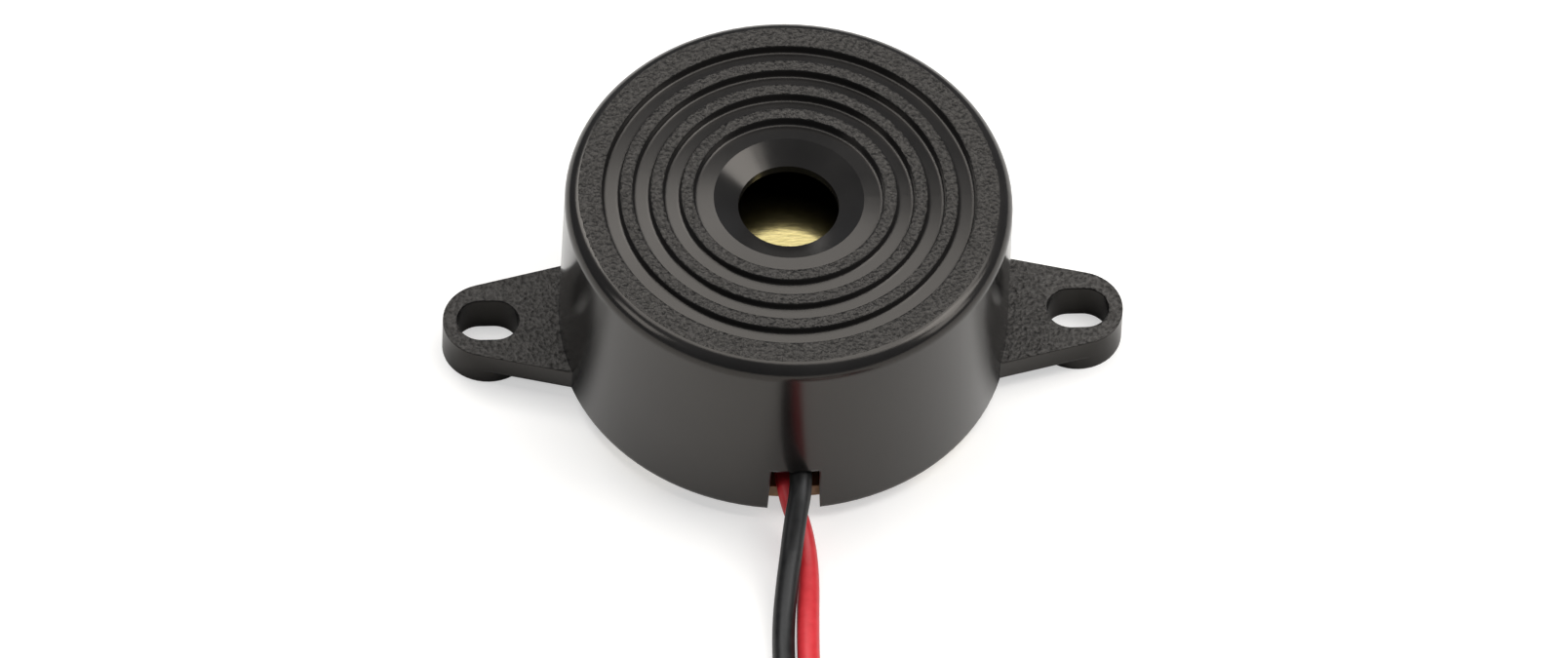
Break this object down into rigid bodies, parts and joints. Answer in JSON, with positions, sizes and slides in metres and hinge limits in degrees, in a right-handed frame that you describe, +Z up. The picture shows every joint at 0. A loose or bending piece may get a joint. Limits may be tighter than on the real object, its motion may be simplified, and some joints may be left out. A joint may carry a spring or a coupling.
{
  "type": "piezo buzzer",
  "caption": "Round black piezo buzzer with a ringed top, a sound funnel over a brass diaphragm, slotted mounting ears and red and black flying leads.",
  "frame": {"origin": "on the body's axis, level with the undersides of the feet", "axes": "+Z up through the sound hole, +X along the line through the mounting ears, the leads leave towards -Y"},
  "size_m": [0.0346, 0.0509, 0.0121],
  "materials": {
    "case_plastic": "moulded, with smooth walls and grained rings",
    "brass": "polished",
    "ceramic": "matte, fired",
    "silver": "satin",
    "sealant": "satin",
    "solder": "bright",
    "phenolic": "matte",
    "copper": "satin",
    "epoxy": "matte",
    "tinned_wire": "satin",
    "lacquer": "glossy",
    "glue": "glossy",
    "red_pvc": "satin",
    "black_pvc": "satin",
    "blue_pvc": "satin",
    "tie_plastic": "satin"
  },
  "bodies": {
    "root": {"housing": "case_plastic", "brass_plate": "brass", "piezo_disc": "ceramic", "silver_film": "silver", "feedback_film": "silver", "plate_sealant": "sealant", "diaphragm_solder": "solder", "plate_wire": "black_pvc", "film_wire": "red_pvc", "tongue_wire": "blue_pvc", "circuit_board": "phenolic", "copper_tracks": "copper", "board_solder": "solder", "transistor": "epoxy", "transistor_legs": "tinned_wire", "bias_resistor": "lacquer", "load_resistor": "lacquer", "feedback_resistor": "lacquer", "resistor_legs": "tinned_wire", "board_glue": "glue", "red_core": "tinned_wire", "black_core": "tinned_wire", "red_lead": "red_pvc", "black_lead": "black_pvc", "lead_coil": "red_pvc", "coil_tie": "tie_plastic", "red_lead_tail": "red_pvc", "black_lead_tail": "black_pvc", "red_lead_tip": "tinned_wire", "black_lead_tip": "tinned_wire"}
  },
  "joints": []
}
